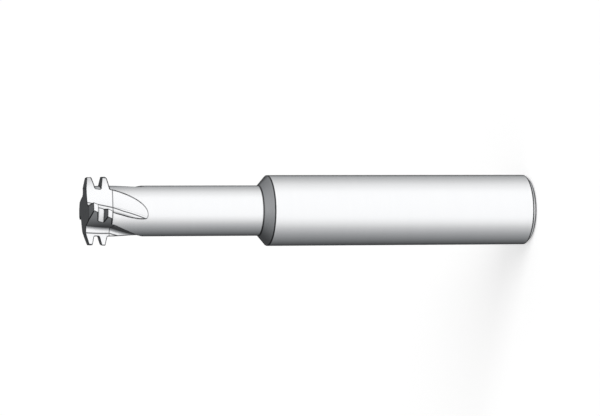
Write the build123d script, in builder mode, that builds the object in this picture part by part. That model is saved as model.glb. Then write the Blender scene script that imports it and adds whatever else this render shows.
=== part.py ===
from build123d import *
from math import atan2, cos, degrees, hypot, radians, sin, sqrt, tan
import os

os.makedirs("parts", exist_ok=True)

# A solid thread mill, ground from one bar. Sizes are millimetres and angles are degrees.
# It stands on the flat end of its shank, with the tool axis on Z and the cutting end up.

# Shank, the plain cylinder that the tool holder grips.
shank_diameter = 10.0
shank_length = 38.7
end_chamfer = 0.55

# Step cone from the shank down to the neck, and the neck with the head on it.
step_length = 1.3
step_edge_radius = 0.12
neck_diameter = 7.1
neck_fillet = 0.2
reach = 25.0

# Teeth. Every flute has one row of them, with a trapezoidal profile across the thread.
cutting_diameter = 9.6
flute_count = 4
teeth_in_row = 2
pitch = 2.0
flank_angle = 15.0
tooth_height = 1.25
crest_width = 0.6
crest_radius = 0.12
root_radius = 0.1
first_tooth_depth = 0.7
land_width = 1.07
relief_angle = 3.0

# Flutes, right-hand helical, with a straight rake face, a round bottom and a bulging back.
helix_angle = 24.0
rake_angle = 3.0
core_diameter = 4.67
flute_radius = 0.8
back_radius = 8.3
head_margin = 0.27
runout_angle = 14.5
runout_turn_share = 0.44
index_angle = 17.0

# Clearances that only keep one cutting shape well outside the metal that it trims.
outside = 0.8
flute_stations = 5

# Lengths and radii that follow from the sizes above.
shank_radius = shank_diameter / 2
neck_radius = neck_diameter / 2
cutting_radius = cutting_diameter / 2
core_radius = core_diameter / 2
root_level = cutting_radius - tooth_height
overall_length = shank_length + step_length + reach
flank_slope = tan(radians(flank_angle))
turn_rate = tan(radians(helix_angle)) / cutting_radius
last_tooth_depth = first_tooth_depth + (teeth_in_row - 1) * pitch
head_length = last_tooth_depth + crest_width / 2 + tooth_height * flank_slope + head_margin

# Behind each cutting edge the metal falls away on a circle about an axis set off to one side.
relief_offset = cutting_radius * tan(radians(relief_angle))


def cutting_azimuth(depth):
    """Angle about Z of the first row's cutting edge, at a depth below the front face."""
    return index_angle - degrees(turn_rate * depth)


def on_relief_axis(radius, depth):
    """Profile point of a row, measured from the relief axis.

    The cutting edge winds back as it goes down, so the profile widens by as much as the
    relief would have taken off there, and every tooth comes out at the full radius.
    """
    return hypot(radius, relief_offset) + relief_offset * turn_rate * depth, -depth


def row_outline():
    """Outline of a row of teeth through the tool axis, from the core out and back."""
    half_crest = crest_width / 2
    half_foot = half_crest + tooth_height * flank_slope
    front_level = cutting_radius - (first_tooth_depth - half_crest) / flank_slope
    points = [on_relief_axis(core_radius, 0), on_relief_axis(front_level, 0)]
    for tooth in range(teeth_in_row):
        middle = first_tooth_depth + tooth * pitch
        if tooth > 0:
            points.append(on_relief_axis(root_level, middle - half_foot))
        points.append(on_relief_axis(cutting_radius, middle - half_crest))
        points.append(on_relief_axis(cutting_radius, middle + half_crest))
        if tooth < teeth_in_row - 1:
            points.append(on_relief_axis(root_level, middle + half_foot))
    rear_depth = last_tooth_depth + half_crest + (cutting_radius - core_radius) * flank_slope
    points.append(on_relief_axis(core_radius, rear_depth))
    return points


def flute_outline():
    """Section of one flute, with the cutting edge of its rake face on the local X axis."""
    rake = Vector(1, 0).rotate(Axis.Z, rake_angle)
    across = rake.rotate(Axis.Z, 90)
    edge = Vector(cutting_radius, 0)
    far = cutting_radius + outside

    # The round bottom touches the rake face, and comes as near the axis as the core lets it.
    start = edge + across * flute_radius
    along = start.dot(rake)
    reach_in = sqrt(along**2 - start.dot(start) + (core_radius + flute_radius) ** 2)
    bottom = start + rake * (reach_in - along)
    rake_foot = bottom - across * flute_radius

    # The back starts at the rear edge of the next row's land and runs on into the bottom.
    land_angle = 360 / flute_count - degrees(land_width / cutting_radius)
    land_edge = Vector(cutting_radius, 0).rotate(Axis.Z, land_angle)
    span = bottom - land_edge
    share = (back_radius**2 - (back_radius + flute_radius) ** 2 + span.dot(span)) / (2 * span.length)
    height = sqrt(back_radius**2 - share**2)
    side = span.normalized().rotate(Axis.Z, 90)
    back = land_edge + span.normalized() * share - side * height
    back_foot = bottom + (back - bottom).normalized() * flute_radius

    # Outside the teeth the section is closed by an arc about the tool axis.
    rake_end = edge + rake * outside
    lean = (far**2 - back_radius**2 - back.dot(back)) / (2 * back.length)
    swing = sqrt(back_radius**2 - lean**2)
    back_end = back + back.normalized() * lean + back.normalized().rotate(Axis.Z, -90) * swing
    return rake_end, rake_foot, bottom, back_foot, back, back_end


rake_end, rake_foot, bottom, back_foot, back, back_end = flute_outline()


def arc_middle(centre, start, end):
    """Point half way along the shorter arc about a centre."""
    radius = (start - centre).length
    return centre + ((start - centre) + (end - centre)).normalized() * radius


def helix_plane(depth):
    """Plane of the flute's section in the head, turned with the helix."""
    turned = Vector(1, 0, 0).rotate(Axis.Z, cutting_azimuth(depth))
    return Plane((0, 0, overall_length - depth), x_dir=turned, z_dir=(0, 0, 1))


def runout_plane(beyond):
    """Plane of the section below the head, where the flute rises out of the neck.

    The bottom keeps to the helix while it rises, and the section turns more slowly.
    """
    depth = head_length + beyond
    turned = Vector(1, 0, 0).rotate(Axis.Z, cutting_azimuth(head_length + runout_turn_share * beyond))
    bottom_azimuth = degrees(atan2(bottom.Y, bottom.X)) + cutting_azimuth(depth)
    bottom_radius = bottom.length + beyond * tan(radians(runout_angle))
    risen = Vector(bottom_radius, 0, 0).rotate(Axis.Z, bottom_azimuth)
    origin = risen - turned * bottom.X - turned.rotate(Axis.Z, 90) * bottom.Y
    return Plane((origin.X, origin.Y, overall_length - depth), x_dir=turned, z_dir=(0, 0, 1))


# One flute as a solid to take away: a helical length through the head, then the runout.
runout_rise = neck_radius + flute_radius + outside - bottom.length
runout_length = runout_rise / tan(radians(runout_angle))
helix_depths = [-outside + (head_length + outside) * i / flute_stations for i in range(flute_stations + 1)]
runout_steps = [runout_length * i / flute_stations for i in range(flute_stations + 1)]
head_planes = [helix_plane(depth) for depth in helix_depths]
runout_planes = [runout_plane(beyond) for beyond in runout_steps]

with BuildPart() as flute:
    for planes in (head_planes, runout_planes):
        for plane in planes:
            with BuildSketch(plane):
                with BuildLine():
                    Line(rake_end, rake_foot)
                    ThreePointArc(rake_foot, arc_middle(bottom, rake_foot, back_foot), back_foot)
                    ThreePointArc(back_foot, arc_middle(back, back_foot, back_end), back_end)
                    ThreePointArc(back_end, arc_middle(Vector(0, 0), back_end, rake_end), rake_end)
                make_face()
        loft()

# One row of teeth as a sector about the relief axis, wider than the land that it leaves.
ahead = 10.0
behind = degrees(turn_rate * head_length) + 45.0
row_start = radians(index_angle - behind)
relief_centre = Vector(0, relief_offset, 0).rotate(Axis.Z, index_angle)
row_plane = Plane(
    (relief_centre.X, relief_centre.Y, overall_length),
    x_dir=(cos(row_start), sin(row_start), 0),
    z_dir=(sin(row_start), -cos(row_start), 0),
)

with BuildPart() as tooth_row:
    with BuildSketch(row_plane) as row_profile:
        with BuildLine():
            Polyline(*row_outline(), close=True)
        make_face()
        crest_limit = cutting_radius - tooth_height / 4
        root_limit = root_level - tooth_height / 4
        corners = row_profile.vertices()
        fillet([v for v in corners if v.X > crest_limit], crest_radius)
        corners = row_profile.vertices()
        fillet([v for v in corners if root_limit < v.X < root_level + tooth_height / 4
                and abs(v.Y) > first_tooth_depth], root_radius)
    relief_axis = Axis((relief_centre.X, relief_centre.Y, 0), (0, 0, 1))
    revolve(axis=relief_axis, revolution_arc=ahead + behind)

# The blank is turned to the shank, the cone, the neck and a thinner stub that carries the rows.
step_top = shank_length + step_length
neck_top = overall_length - last_tooth_depth
stub_radius = (core_radius + root_level) / 2

with BuildPart() as thread_mill:
    with BuildSketch(Plane.XZ) as blank:
        with BuildLine():
            Polyline(
                (0, 0),
                (shank_radius - end_chamfer, 0),
                (shank_radius, end_chamfer),
                (shank_radius, shank_length),
                (neck_radius, step_top),
                (neck_radius, neck_top),
                (stub_radius, neck_top),
                (stub_radius, overall_length),
                (0, overall_length),
                close=True,
            )
        make_face()
        cone_foot = blank.vertices().sort_by_distance((shank_radius, shank_length))[0]
        fillet(cone_foot, step_edge_radius)
        cone_top = blank.vertices().sort_by_distance((neck_radius, step_top))[0]
        fillet(cone_top, neck_fillet)
    revolve(axis=Axis.Z)
    with PolarLocations(0, flute_count):
        add(tooth_row.part)
    with PolarLocations(0, flute_count):
        add(flute.part, mode=Mode.SUBTRACT)

thread_mill.part.label = "thread_mill"
export_step(thread_mill.part, "parts/thread_mill.step")
print("overall length", overall_length, "head length", round(head_length, 3), "runout", round(runout_length, 3))
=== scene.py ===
# %% [markdown]
# # A solid thread mill, finished and lit
#
# A thread mill is one bar of cemented carbide, ground all over. The plain end is gripped
# by a tool holder, and the short head at the other end has helical flutes and rows of
# thread teeth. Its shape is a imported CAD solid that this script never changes. What is
# made here is the ground surface, the studio that the metal mirrors, and the camera.
#
# The solid stands on the end of its shank in its own frame, and +Z runs along the tool to
# the cutting end. Blender counts in metres. The shaders turn them into millimetres at
# once, because the sizes of a tool are easier to read that way.

# %% Load the solid and measure it
from math import cos, pi, radians, sin, tan

import bmesh
import bpy
from mathutils import Matrix, Vector


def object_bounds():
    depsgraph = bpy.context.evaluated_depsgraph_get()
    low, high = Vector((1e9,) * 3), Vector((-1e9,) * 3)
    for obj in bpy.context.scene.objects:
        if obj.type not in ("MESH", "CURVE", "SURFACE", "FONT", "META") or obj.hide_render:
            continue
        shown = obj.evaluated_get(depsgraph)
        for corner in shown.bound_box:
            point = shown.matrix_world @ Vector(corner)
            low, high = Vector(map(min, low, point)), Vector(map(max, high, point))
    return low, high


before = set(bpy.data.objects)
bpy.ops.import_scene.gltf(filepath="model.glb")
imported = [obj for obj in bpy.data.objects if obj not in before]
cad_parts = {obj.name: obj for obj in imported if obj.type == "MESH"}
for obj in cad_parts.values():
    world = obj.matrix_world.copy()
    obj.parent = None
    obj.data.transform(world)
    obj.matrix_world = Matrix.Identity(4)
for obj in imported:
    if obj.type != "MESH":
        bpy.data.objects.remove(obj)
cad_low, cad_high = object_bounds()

MM = 0.001
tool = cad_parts["thread_mill"]
tool_length = (cad_high.z - cad_low.z) / MM
print(f"{tool.name}: {tool_length:.1f} mm long")

# %% [markdown]
# ## Sizes that the finish follows
#
# The finish changes from region to region, as it does on the real tool: round the shank,
# neck and cone the wheel leaves rings, and in the flutes it leaves lines that run along
# the flute. A mask could be painted by hand, but a painted mask has to be painted again
# whenever the shape changes. The shader tells the regions apart by height, radius and
# direction instead, so it needs the sizes at which one region ends and the next starts.

# %% Sizes of the regions, in millimetres
cone_end = 40.0
neck_radius = 3.55
head_length = 3.605
print(f"cone ends at {cone_end:.1f} mm, head starts at {tool_length - head_length:.2f} mm")

# %% [markdown]
# ## Writing shader maths as Python
#
# A node tree is a sum written as boxes and wires. It reads better as a sum. The small
# class below wraps one output socket, so that `1 - mask * 0.5` adds the Math nodes for
# it. Every other kind of node comes from one method, which sets the node's own settings
# first and then fills or links its sockets.


# %% A socket that takes part in sums, and one way to add a node
class Value:
    """An output socket of a shader node, to be used in Python sums."""

    def __init__(self, tree, node, out=0):
        self.tree, self.node = tree, node
        self.socket = node.outputs[out] if len(node.outputs) else None

    def output(self, name):
        """Another output of the same node."""
        return Value(self.tree, self.node, name)

    def math(self, operation, *others):
        return self.tree.math(operation, self, *others)

    def __add__(self, other):
        return self.tree.math("ADD", self, other)

    def __sub__(self, other):
        return self.tree.math("SUBTRACT", self, other)

    def __rsub__(self, other):
        return self.tree.math("SUBTRACT", other, self)

    def __mul__(self, other):
        return self.tree.math("MULTIPLY", self, other)

    def __truediv__(self, other):
        return self.tree.math("DIVIDE", self, other)

    __radd__ = __add__
    __rmul__ = __mul__


class Tree:
    """A shader's node tree, emptied and ready for nodes."""

    def __init__(self, owner):
        owner.use_nodes = True
        self.nodes, self.links = owner.node_tree.nodes, owner.node_tree.links
        self.nodes.clear()

    def add(self, kind, sockets=None, out=0, stops=None, **settings):
        node = self.nodes.new(kind)
        for name, value in settings.items():
            setattr(node, name, value)
        if stops:
            elements = node.color_ramp.elements
            while len(elements) < len(stops):
                elements.new(1.0)
            for element, (place, colour) in zip(elements, stops):
                element.position, element.color = place, (*colour, 1.0)
        for name, value in (sockets or {}).items():
            if isinstance(value, Value):
                self.links.new(value.socket, node.inputs[name])
            else:
                node.inputs[name].default_value = value
        return Value(self, node, out)

    def math(self, operation, *terms):
        return self.add("ShaderNodeMath", dict(enumerate(terms)), operation=operation)

    def vector_math(self, operation, *terms, out=0):
        sockets = dict(enumerate(terms))
        return self.add("ShaderNodeVectorMath", sockets, out=out, operation=operation)

    def rise(self, value, start, end):
        """0 below start, 1 above end, and an even slope between them."""
        return self.add(
            "ShaderNodeMapRange",
            {"Value": value, "From Min": start, "From Max": end, "To Min": 0.0, "To Max": 1.0},
            clamp=True,
        )

    def noise(self, vector, scale, detail, roughness):
        sockets = {"Vector": vector, "Scale": scale, "Detail": detail, "Roughness": roughness}
        return self.add("ShaderNodeTexNoise", sockets)

    def mix(self, share, first, second):
        """A colour between two colours."""
        ends = [c if isinstance(c, Value) else (*c, 1.0) for c in (first, second)]
        sockets = {0: share, 6: ends[0], 7: ends[1]}
        return self.add("ShaderNodeMix", sockets, out=2, data_type="RGBA")

    def mix_vectors(self, share, first, second):
        """A vector between two vectors."""
        return self.add("ShaderNodeMix", {0: share, 4: first, 5: second}, out=1, data_type="VECTOR")

    def vector(self, x, y, z):
        return self.add("ShaderNodeCombineXYZ", {"X": x, "Y": y, "Z": z})

    def split(self, vector):
        parts = self.add("ShaderNodeSeparateXYZ", {"Vector": vector})
        return parts, parts.output("Y"), parts.output("Z")


def blend(first, second, share):
    """A value between two values, or values that become another by a mask."""
    return first * (1 - share) + second * share


def distance(across, along):
    """The distance that belongs to two steps at right angles to each other."""
    return (across * across + along * along).math("SQRT")


print("shader helpers ready")

# %% [markdown]
# ## Where a point lies on the tool
#
# A point's radius and height say whether it is on the shank, the cone, the neck or the
# head. On the head, the direction in which the surface faces tells the teeth, which face
# straight out, from the flutes, which face sideways round the tool.

# %% Regions of the tool
carbide = bpy.data.materials.new("ground_carbide")
tree = Tree(carbide)
in_metres = tree.add("ShaderNodeTexCoord", out="Object")
place = tree.vector_math("MULTIPLY", in_metres, (1 / MM, 1 / MM, 1 / MM))
x, y, z = tree.split(place)
facing = tree.add("ShaderNodeNewGeometry", out="Normal")
facing_x, facing_y, facing_z = tree.split(facing)

smallest_radius = 0.01  # keeps the division below away from zero on the axis
radius = distance(x, y).math("MAXIMUM", smallest_radius)
out_x, out_y = x / radius, y / radius
facing_out = out_x * facing_x + out_y * facing_y
facing_round = (out_x * facing_y - out_y * facing_x).math("ABSOLUTE")

above_cone = tree.rise(z, cone_end + 0.05, cone_end + 0.15)
on_head = tree.rise(z, tool_length - head_length, tool_length - head_length + 0.1)
at_neck, off_neck = 0.02, 0.06  # so near counts as the neck's surface, and so far doesn't
inside_neck = 1 - tree.rise(radius, neck_radius - off_neck, neck_radius - at_neck)
beyond_neck = tree.rise(radius, neck_radius + at_neck, neck_radius + off_neck)
end_face = tree.rise(facing_z.math("ABSOLUTE"), 0.97, 0.99)
cut_face = inside_neck.math("MAXIMUM", tree.rise(facing_round, 0.10, 0.25))
in_flute = above_cone * cut_face * (1 - end_face)
print("regions: turned faces, flutes, teeth and end faces")

# %% [markdown]
# ## The wheel's lines
#
# A grinding wheel leaves fine lines in the direction in which it passes over the work. The
# tool turns in the wheel while the shank, the neck and the teeth are ground, so there the
# lines are rings, and a pattern that varies only along the profile draws them. The
# flutes are ground by a wheel that follows the helix. If the section is first turned back
# by the helix, a pattern that hardly varies along Z runs along every flute. The front
# face was passed straight under a wheel, so its lines are straight.
#
# The lines are far finer than a picture element. What shows is that the gloss and the
# shade vary a little in that direction, so they are kept faint.

# %% Rings, flute lines, straight lines and a cloudy pattern
helix_turn = radians(5.3145)  # for each millimetre along the axis
turn = z * helix_turn
back_x = x * turn.math("COSINE") + y * turn.math("SINE")
back_y = y * turn.math("COSINE") - x * turn.math("SINE")
stretch = 12.0  # how much longer a line is than it is wide
round_change = 0.3  # how much a ring changes on its way round the tool

ring_place = tree.vector(z - radius * 0.8, out_x * round_change, out_y * round_change)
flute_place = tree.vector(back_x, back_y, z / stretch)
face_place = tree.vector(x / stretch, y, z)
ring_lines = tree.noise(ring_place, scale=2.5, detail=6.0, roughness=0.68)
flute_lines = tree.noise(flute_place, scale=4.0, detail=5.0, roughness=0.65)
face_lines = tree.noise(face_place, scale=4.0, detail=5.0, roughness=0.65)
clouds = tree.noise(place, scale=0.22, detail=2.0, roughness=0.5)
lines = blend(blend(ring_lines, face_lines, end_face), flute_lines, in_flute)
print("three line patterns and a cloudy one")

# %% [markdown]
# ## Honed edges
#
# The corners of a ground tool are often honed last, which leaves a narrow dull band along
# them. In the photograph every sharp edge is a fine dark line. The bands here are wider
# and much darker than honing would leave them, so that they read as those lines. They
# could be modelled, but at a tenth of a millimetre they would need thousands of faces.
# Blender's Bevel node does it in the shader: it gives the direction that the surface
# would have if its corners were rounded. Where that direction differs from the real one,
# a corner is near.
#
# The bands are narrower on the lands of the teeth, which are bright up to their edges.
# Round the shank and the cone a corner is a plain circle, so the distance from it in the
# plane of radius and height gives a cleaner band.

# %% Bands along the corners, in millimetres
bevel_radius = 0.24
shank_radius = 5.0
cone_start = 38.7
chamfer_band_height = 0.60  # a little above the chamfer's corner, which lies at 0.55
end_face_radius = 4.45
turned_corners = [
    # radius, height, and how far the band reaches from the corner
    (shank_radius, cone_start, 0.11),
    (neck_radius, cone_end, 0.11),
    (shank_radius, chamfer_band_height, 0.11),
    (end_face_radius, 0.0, 0.50),
]

# The two directions agree fully far from a corner. A band is dark below the first number
# and gone above the second, and on a land both are lower, so the band there is narrower.
soft_corner = tree.add("ShaderNodeBevel", {"Radius": bevel_radius * MM}, samples=16)
agreement = tree.vector_math("DOT_PRODUCT", soft_corner, facing, out="Value")
on_land = on_head * tree.rise(facing_out, 0.80, 0.90)
at_edge = 1 - tree.rise(agreement, 0.995 - on_land * 0.05, 0.99985 - on_land * 0.015)
for corner_radius, corner_height, reach in turned_corners:
    away = distance(radius - corner_radius, z - corner_height)
    at_edge = at_edge.math("MAXIMUM", 1 - tree.rise(away, reach / 2, reach))
print(f"bands along the edges, and along {len(turned_corners)} turned corners")

# %% [markdown]
# ## Seams in the flutes
#
# A flute's flat rake face runs into a round bottom, and that runs into the bulging back.
# The faces are tangent, so there is no corner to hone, but the photograph shows fine lines
# there. They are taken for seams, which a wheel's rim can leave where its flat side ends. A
# second kind crosses the flute at the end of the head, where the wheel starts to lift out.
#
# The centre of the round bottom follows the helix, and below the head it also moves
# outwards. Seen from that centre, in the section's own directions, the seam at the rake
# face stands still, where the round bottom begins. The one at the back was fitted to its
# line in the photograph: it lies a little way down the round bottom, where the solid has
# no edge, and creeps further down as the wheel lifts. Four flutes need only one sum, because
# the angle round the tool is wrapped to the quarter turn about the nearest bottom.

# %% The seams' distance, from the nearest flute's centre
bottom_distance = 3.135  # from the tool's axis
bottom_azimuth = radians(30.08)  # at the front face
section_lead = radians(13.08)  # from the section's own x direction to its bottom
runout_slope = tan(radians(14.5))
runout_lag = helix_turn * 0.56  # the section turns more slowly there than the helix
flute_radius = 0.8
rake_seam = (0.042, -0.799)
seam_half_width, seam_reach = 0.05, 0.12  # a seam is dark up to the first and ends at the second

depth = tool_length - z
beyond = (depth - head_length).math("MAXIMUM", 0.0)
swing = y.math("ARCTAN2", x) - bottom_azimuth + depth * helix_turn
swing = swing.math("WRAP", pi / 4, -pi / 4)
from_x = radius * swing.math("COSINE") - bottom_distance - beyond * runout_slope
from_y = radius * swing.math("SINE")
lead = section_lead - beyond * runout_lag
section_x = from_x * lead.math("COSINE") - from_y * lead.math("SINE")
section_y = from_x * lead.math("SINE") + from_y * lead.math("COSINE")

angle_in_head, angle_gained, creep_length = radians(9), radians(13), 1.4
creep = angle_in_head + tree.rise(beyond, 0.0, creep_length) * angle_gained
back_seam = (creep.math("COSINE") * -flute_radius, creep.math("SINE") * -flute_radius)

from_lift = (depth - head_length).math("ABSOLUTE")
seams = 0.85 * (1 - tree.rise(from_lift, 0.03, 0.09))
for seam_x, seam_y in (rake_seam, back_seam):
    away = distance(section_x - seam_x, section_y - seam_y)
    seams = seams.math("MAXIMUM", 0.9 * (1 - tree.rise(away, seam_half_width, seam_reach)))
at_edge = at_edge.math("MAXIMUM", seams * in_flute)
print("three seams in each flute")

# %% [markdown]
# ## True directions on round faces
#
# Polished metal shows every error in the direction of its surface. The solid reaches
# Blender as triangles, and near the line where a cylinder closes on itself their corner
# directions are off by a few degrees, which puts a step into the reflection. On a turned
# face the true direction is known, straight away from the axis at the face's own slope,
# so the shader uses that. Teeth and flutes keep the directions that they came with.

# %% Directions from the axis
turned = (1 - above_cone * beyond_neck) * (1 - in_flute)
level_share = (1 - facing_z * facing_z).math("MAXIMUM", 0.0).math("SQRT")
round_facing = tree.vector(out_x * level_share, out_y * level_share, facing_z)
true_facing = tree.mix_vectors(turned, facing, round_facing)
print("turned faces point away from the axis")

# %% [markdown]
# ## The ground carbide
#
# Finely ground carbide is a bright, slightly cool grey metal with a satin gloss. Its shade
# and its gloss vary with the wheel's lines. In the narrow corners between the teeth,
# Blender's Ambient Occlusion node darkens the colour. This is painted shade, standing in
# for the shade that the corners would have.
#
# The tool doesn't mirror itself. Bright faces beside dark ones would fill them with light,
# and the strong contrast of the photograph would be lost. So mirror rays don't meet it.

# %% Shade and gloss
in_line, between_lines = (0.590, 0.595, 0.605), (0.632, 0.636, 0.642)
# painted shade: the dark grey that Ambient Occlusion mixes into narrow corners
painted_corner_shade = (0.40, 0.405, 0.42)
honed_edge = (0.01, 0.011, 0.013)
corner_reach = 3.0  # in millimetres

open_sky = tree.add(
    "ShaderNodeAmbientOcclusion",
    {"Distance": corner_reach * MM},
    out="AO",
    samples=8,
    only_local=True,
)
ground_shade = tree.mix(lines * 0.8 + clouds * 0.2, in_line, between_lines)
# painted shade: places that see little open space get the darker grey
shade = tree.mix(tree.rise(open_sky, 0.1, 0.8), painted_corner_shade, ground_shade)
shade = tree.mix(at_edge * 0.97, shade, honed_edge)
gloss = 0.20 + lines * 0.08 - in_flute * 0.04
print(f"corners darken over {corner_reach:.0f} mm")

# %% The shader
line_depth = 0.001  # in millimetres
grain = tree.add(
    "ShaderNodeBump",
    {"Height": lines, "Strength": 1.0, "Distance": line_depth * MM, "Normal": true_facing},
)
metal = tree.add(
    "ShaderNodeBsdfPrincipled",
    {"Base Color": shade, "Metallic": 1.0, "Roughness": gloss, "Normal": grain},
)
tree.add("ShaderNodeOutputMaterial", {"Surface": metal})

tool.data.materials.clear()
tool.data.materials.append(carbide)
tool.visible_glossy = False
print(f"{carbide.name}: {len(tree.nodes)} nodes")

# %% [markdown]
# ## The floor and the air round it
#
# The background is plain white. The floor is a pale diffuse sheet that catches the
# tool's soft shadow, and a little glow that is seen but lights nothing lifts it to white.
# The world does the same: it is white to look at, and gives less light than that to the
# floor.


# %% Floor and world
def seen_ray(tree):
    """1 for a ray of the camera, of a mirror or of glass, and 0 for a ray that only lights."""
    path = tree.add("ShaderNodeLightPath", out="Is Camera Ray")
    mirror = path.output("Is Glossy Ray")
    glass = path.output("Is Transmission Ray")
    return path.math("MAXIMUM", mirror).math("MAXIMUM", glass)


white = (1.0, 1.0, 1.0, 1.0)
half_floor = 3.0  # in metres
corners = [(-half_floor, -half_floor, 0), (half_floor, -half_floor, 0)]
corners += [(half_floor, half_floor, 0), (-half_floor, half_floor, 0)]
floor_mesh = bpy.data.meshes.new("studio_floor")
floor_mesh.from_pydata(corners, [], [(0, 1, 2, 3)])
floor = bpy.data.objects.new("studio_floor", floor_mesh)
bpy.context.scene.collection.objects.link(floor)
floor.visible_glossy = False

floor_grey = (0.82, 0.82, 0.82, 1.0)
floor_glow = 0.46
pale = bpy.data.materials.new("studio_floor")
tree = Tree(pale)
sheet = tree.add("ShaderNodeBsdfDiffuse", {"Color": floor_grey})
glow = tree.add("ShaderNodeEmission", {"Color": white, "Strength": seen_ray(tree) * floor_glow})
both = tree.add("ShaderNodeAddShader", {0: sheet, 1: glow})
tree.add("ShaderNodeOutputMaterial", {"Surface": both})
floor_mesh.materials.append(pale)

air_light = 0.5
world = bpy.data.worlds.new("studio_air")
bpy.context.scene.world = world
tree = Tree(world)
air_strength = air_light + seen_ray(tree) * (1 - air_light)
air = tree.add("ShaderNodeBackground", {"Color": white, "Strength": air_strength})
tree.add("ShaderNodeOutputWorld", {"Surface": air})
print("white floor and air")

# %% [markdown]
# ## What the metal mirrors
#
# Bare metal has no colour of its own to show: it shows the room. A photographer who
# wants a round bar to look round puts a tent of graded cloth about it, bright on one
# side and dark on the other. Here the tent is a large ball that only mirror rays meet, and
# its lower half takes the floor's place in the metal.
#
# Its brightness follows the compass round the tool. It is bright in front, grey towards
# both sides and dark behind, more so towards -X, and its roof darkens from front to back.
# Towards -X it is a little darker above the horizon and a little brighter low down. Low
# behind the tool it is pale, and straight below it is bright.
#
# The brightnesses were fitted to the photograph. The direction that a place on the metal
# mirrors, and how bright that place looks, give how bright the tent has to be there. They
# suit this one camera, and say nothing of the room in which a real tool would stand.

# %% The graded tent
tent_radius = 2.0  # in metres
ball = bmesh.new()
bmesh.ops.create_uvsphere(ball, u_segments=96, v_segments=48, radius=tent_radius)
tent_mesh = bpy.data.meshes.new("graded_tent")
ball.to_mesh(tent_mesh)
ball.free()
tent = bpy.data.objects.new("graded_tent", tent_mesh)
bpy.context.scene.collection.objects.link(tent)
tent.visible_camera = False
tent.visible_diffuse = False
tent.visible_transmission = False
tent.visible_shadow = False
print(f"{tent.name}: {len(tent_mesh.polygons)} faces")

# %% Its brightness round the compass
# A compass angle from the front towards +X in degrees, and the wall's brightness there.
wall_levels = [
    (-180, 0.085),
    (-172, 0.06),
    (-163, 0.045),
    (-154, 0.065),
    (-140, 0.125),
    (-125, 0.22),
    (-103, 0.38),
    (-84, 0.54),
    (-60, 0.86),
    (-40, 1.30),
    (-22, 1.60),
    (20, 1.62),
    (62, 1.62),
    (93, 1.27),
    (114, 0.91),
    (144, 0.55),
    (150, 0.41),
    (155, 0.13),
    (160, 0.05),
    (168, 0.05),
    (180, 0.085),
]
brightest = max(level for angle, level in wall_levels)
print(f"{len(wall_levels)} levels round the compass, up to {brightest}")

# %% Its brightness over the roof
# A place from the back, -1, to the front, 1, and the roof's brightness there.
roof_levels = [
    (-1.0, 0.03),
    (-0.9, 0.05),
    (-0.78, 0.145),
    (-0.44, 0.215),
    (-0.09, 0.345),
    (0.16, 0.45),
    (0.4, 1.0),
    (0.7, 1.45),
    (1.0, 1.61),
]
print(f"{len(roof_levels)} levels over the roof")


# %% The cloth
def graded(tree, fac, levels, low, high):
    """Brightness from a list of places and levels, where fac is 0 at low and 1 at high."""
    stops = [((at - low) / (high - low), (level / brightest,) * 3) for at, level in levels]
    return tree.add("ShaderNodeValToRGB", {"Fac": fac}, stops=stops) * brightest


cloth = bpy.data.materials.new("graded_tent")
tree = Tree(cloth)
in_metres = tree.add("ShaderNodeTexCoord", out="Object")
side, rear, height = (axis / tent_radius for axis in tree.split(in_metres))
front = rear * -1.0
walls = graded(tree, side.math("ARCTAN2", front) / (2 * pi) + 0.5, wall_levels, -180, 180)
dark_side = tree.rise(side, -0.2, -0.6) * tree.rise(height, -0.2, -0.05)
low_side = tree.rise(side, -0.3, -0.7) * tree.rise(height, -0.30, -0.40)
low_back = tree.rise(rear, 0.2, 0.4) * tree.rise(height, -0.45, -0.65)
walls = walls * (1 - dark_side * 0.2) * (1 + low_side * 0.35)
walls = walls + tree.rise(height, -0.1, 0.15) * 0.02
walls = walls.math("MAXIMUM", low_back * 0.7)

roof_start, roof_full = 0.10, 0.40  # the walls turn into the roof between these heights
darkest_roof = 0.06
roof = graded(tree, front * 0.5 + 0.5, roof_levels, -1, 1)
roof = roof + side * 0.21 + side.math("ABSOLUTE") * 0.06
roof = roof.math("MAXIMUM", darkest_roof)

below_level = 1.5
under_tool = 1 - tree.rise(height, -0.96, -0.88)
level = blend(walls, roof, tree.rise(height, roof_start, roof_full))
level = blend(level, below_level, under_tool)
cool_white, plain_white = (0.93, 0.965, 1.0), (1.0, 1.0, 1.0)
tint = tree.mix(tree.rise(level, 0.0, 1.0), cool_white, plain_white)
tinted_level = tree.vector_math("MULTIPLY", tint, tree.vector(level, level, level))
light = tree.add("ShaderNodeEmission", {"Color": tinted_level, "Strength": 1.0})
tree.add("ShaderNodeOutputMaterial", {"Surface": light})
tent_mesh.materials.append(cloth)
print(f"{cloth.name}: {len(tree.nodes)} nodes")

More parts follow.
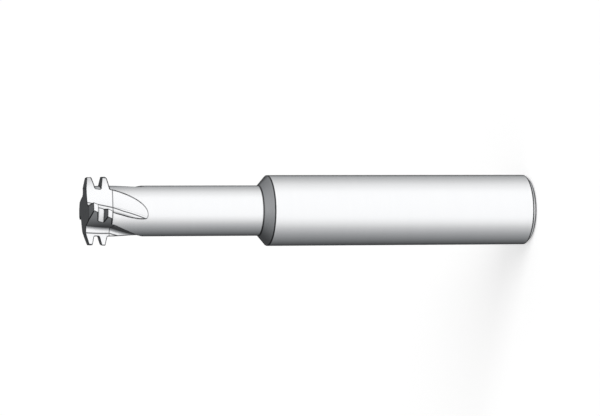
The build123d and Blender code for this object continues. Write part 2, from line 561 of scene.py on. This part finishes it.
# %% [markdown]
# ## The lamp
#
# One broad, distant lamp lights the floor evenly and gives the tool its soft shadow. It
# stands where the tent is bright, in front and towards +X, so shadow and gloss agree.

# %% A broad distant lamp
lamp_direction = Vector((-0.45, 0.6, -0.75))
lamp_data = bpy.data.lights.new("key_lamp", "SUN")
lamp_data.energy, lamp_data.angle = 0.8, radians(35)
lamp = bpy.data.objects.new("key_lamp", lamp_data)
lamp.rotation_mode = "QUATERNION"
lamp.rotation_quaternion = lamp_direction.to_track_quat("-Z", "Y")
lamp.visible_glossy = False
bpy.context.scene.collection.objects.link(lamp)
print("one soft lamp")

# %% [markdown]
# ## The camera
#
# The photograph looks at the tool from its side and a little from its cutting end, with
# the tool lying across the picture. The tool here stands upright, so the camera is turned
# on its side instead: what is up for the tool is left in the picture. A long lens from
# half a metre away keeps the shank's outline nearly parallel.

# %% Where the camera stands, with lengths in millimetres
above = radians(15.502)  # the camera's angle above the horizon
roll = radians(-0.2075)  # a small turn about the line of sight
aim_distance = 511.5
shift_right, shift_up = 4.716, 0.359  # along the picture, away from the aim point

back = Vector((0, -cos(above), sin(above)))
right = Vector((0, -sin(above), -cos(above)))
up = Vector((1, 0, 0))
turned_right = right * cos(roll) + up * sin(roll)
turned_up = up * cos(roll) - right * sin(roll)
aim_point = Vector((0, 0, cone_start))
spot = (aim_point + turned_right * shift_right + turned_up * shift_up + back * aim_distance) * MM
print(f"camera {spot.length / MM:.0f} mm from the end of the shank")

# %% Camera
picture_width = 600
lens_in_pixels = 3625.17  # at that width
camera_data = bpy.data.cameras.new("camera")
camera_data.sensor_width = 36.0
camera_data.lens = camera_data.sensor_width * lens_in_pixels / picture_width
camera_data.clip_start, camera_data.clip_end = 0.05, 20.0
camera = bpy.data.objects.new("camera", camera_data)
axes = Matrix((turned_right, turned_up, back)).transposed()
camera.matrix_world = Matrix.Translation(spot) @ axes.to_4x4()
bpy.context.scene.collection.objects.link(camera)
bpy.context.scene.camera = camera
bpy.context.scene.view_settings.view_transform = "Standard"
print(f"camera at {tuple(round(c, 4) for c in spot)}, lens {camera_data.lens:.1f} mm")
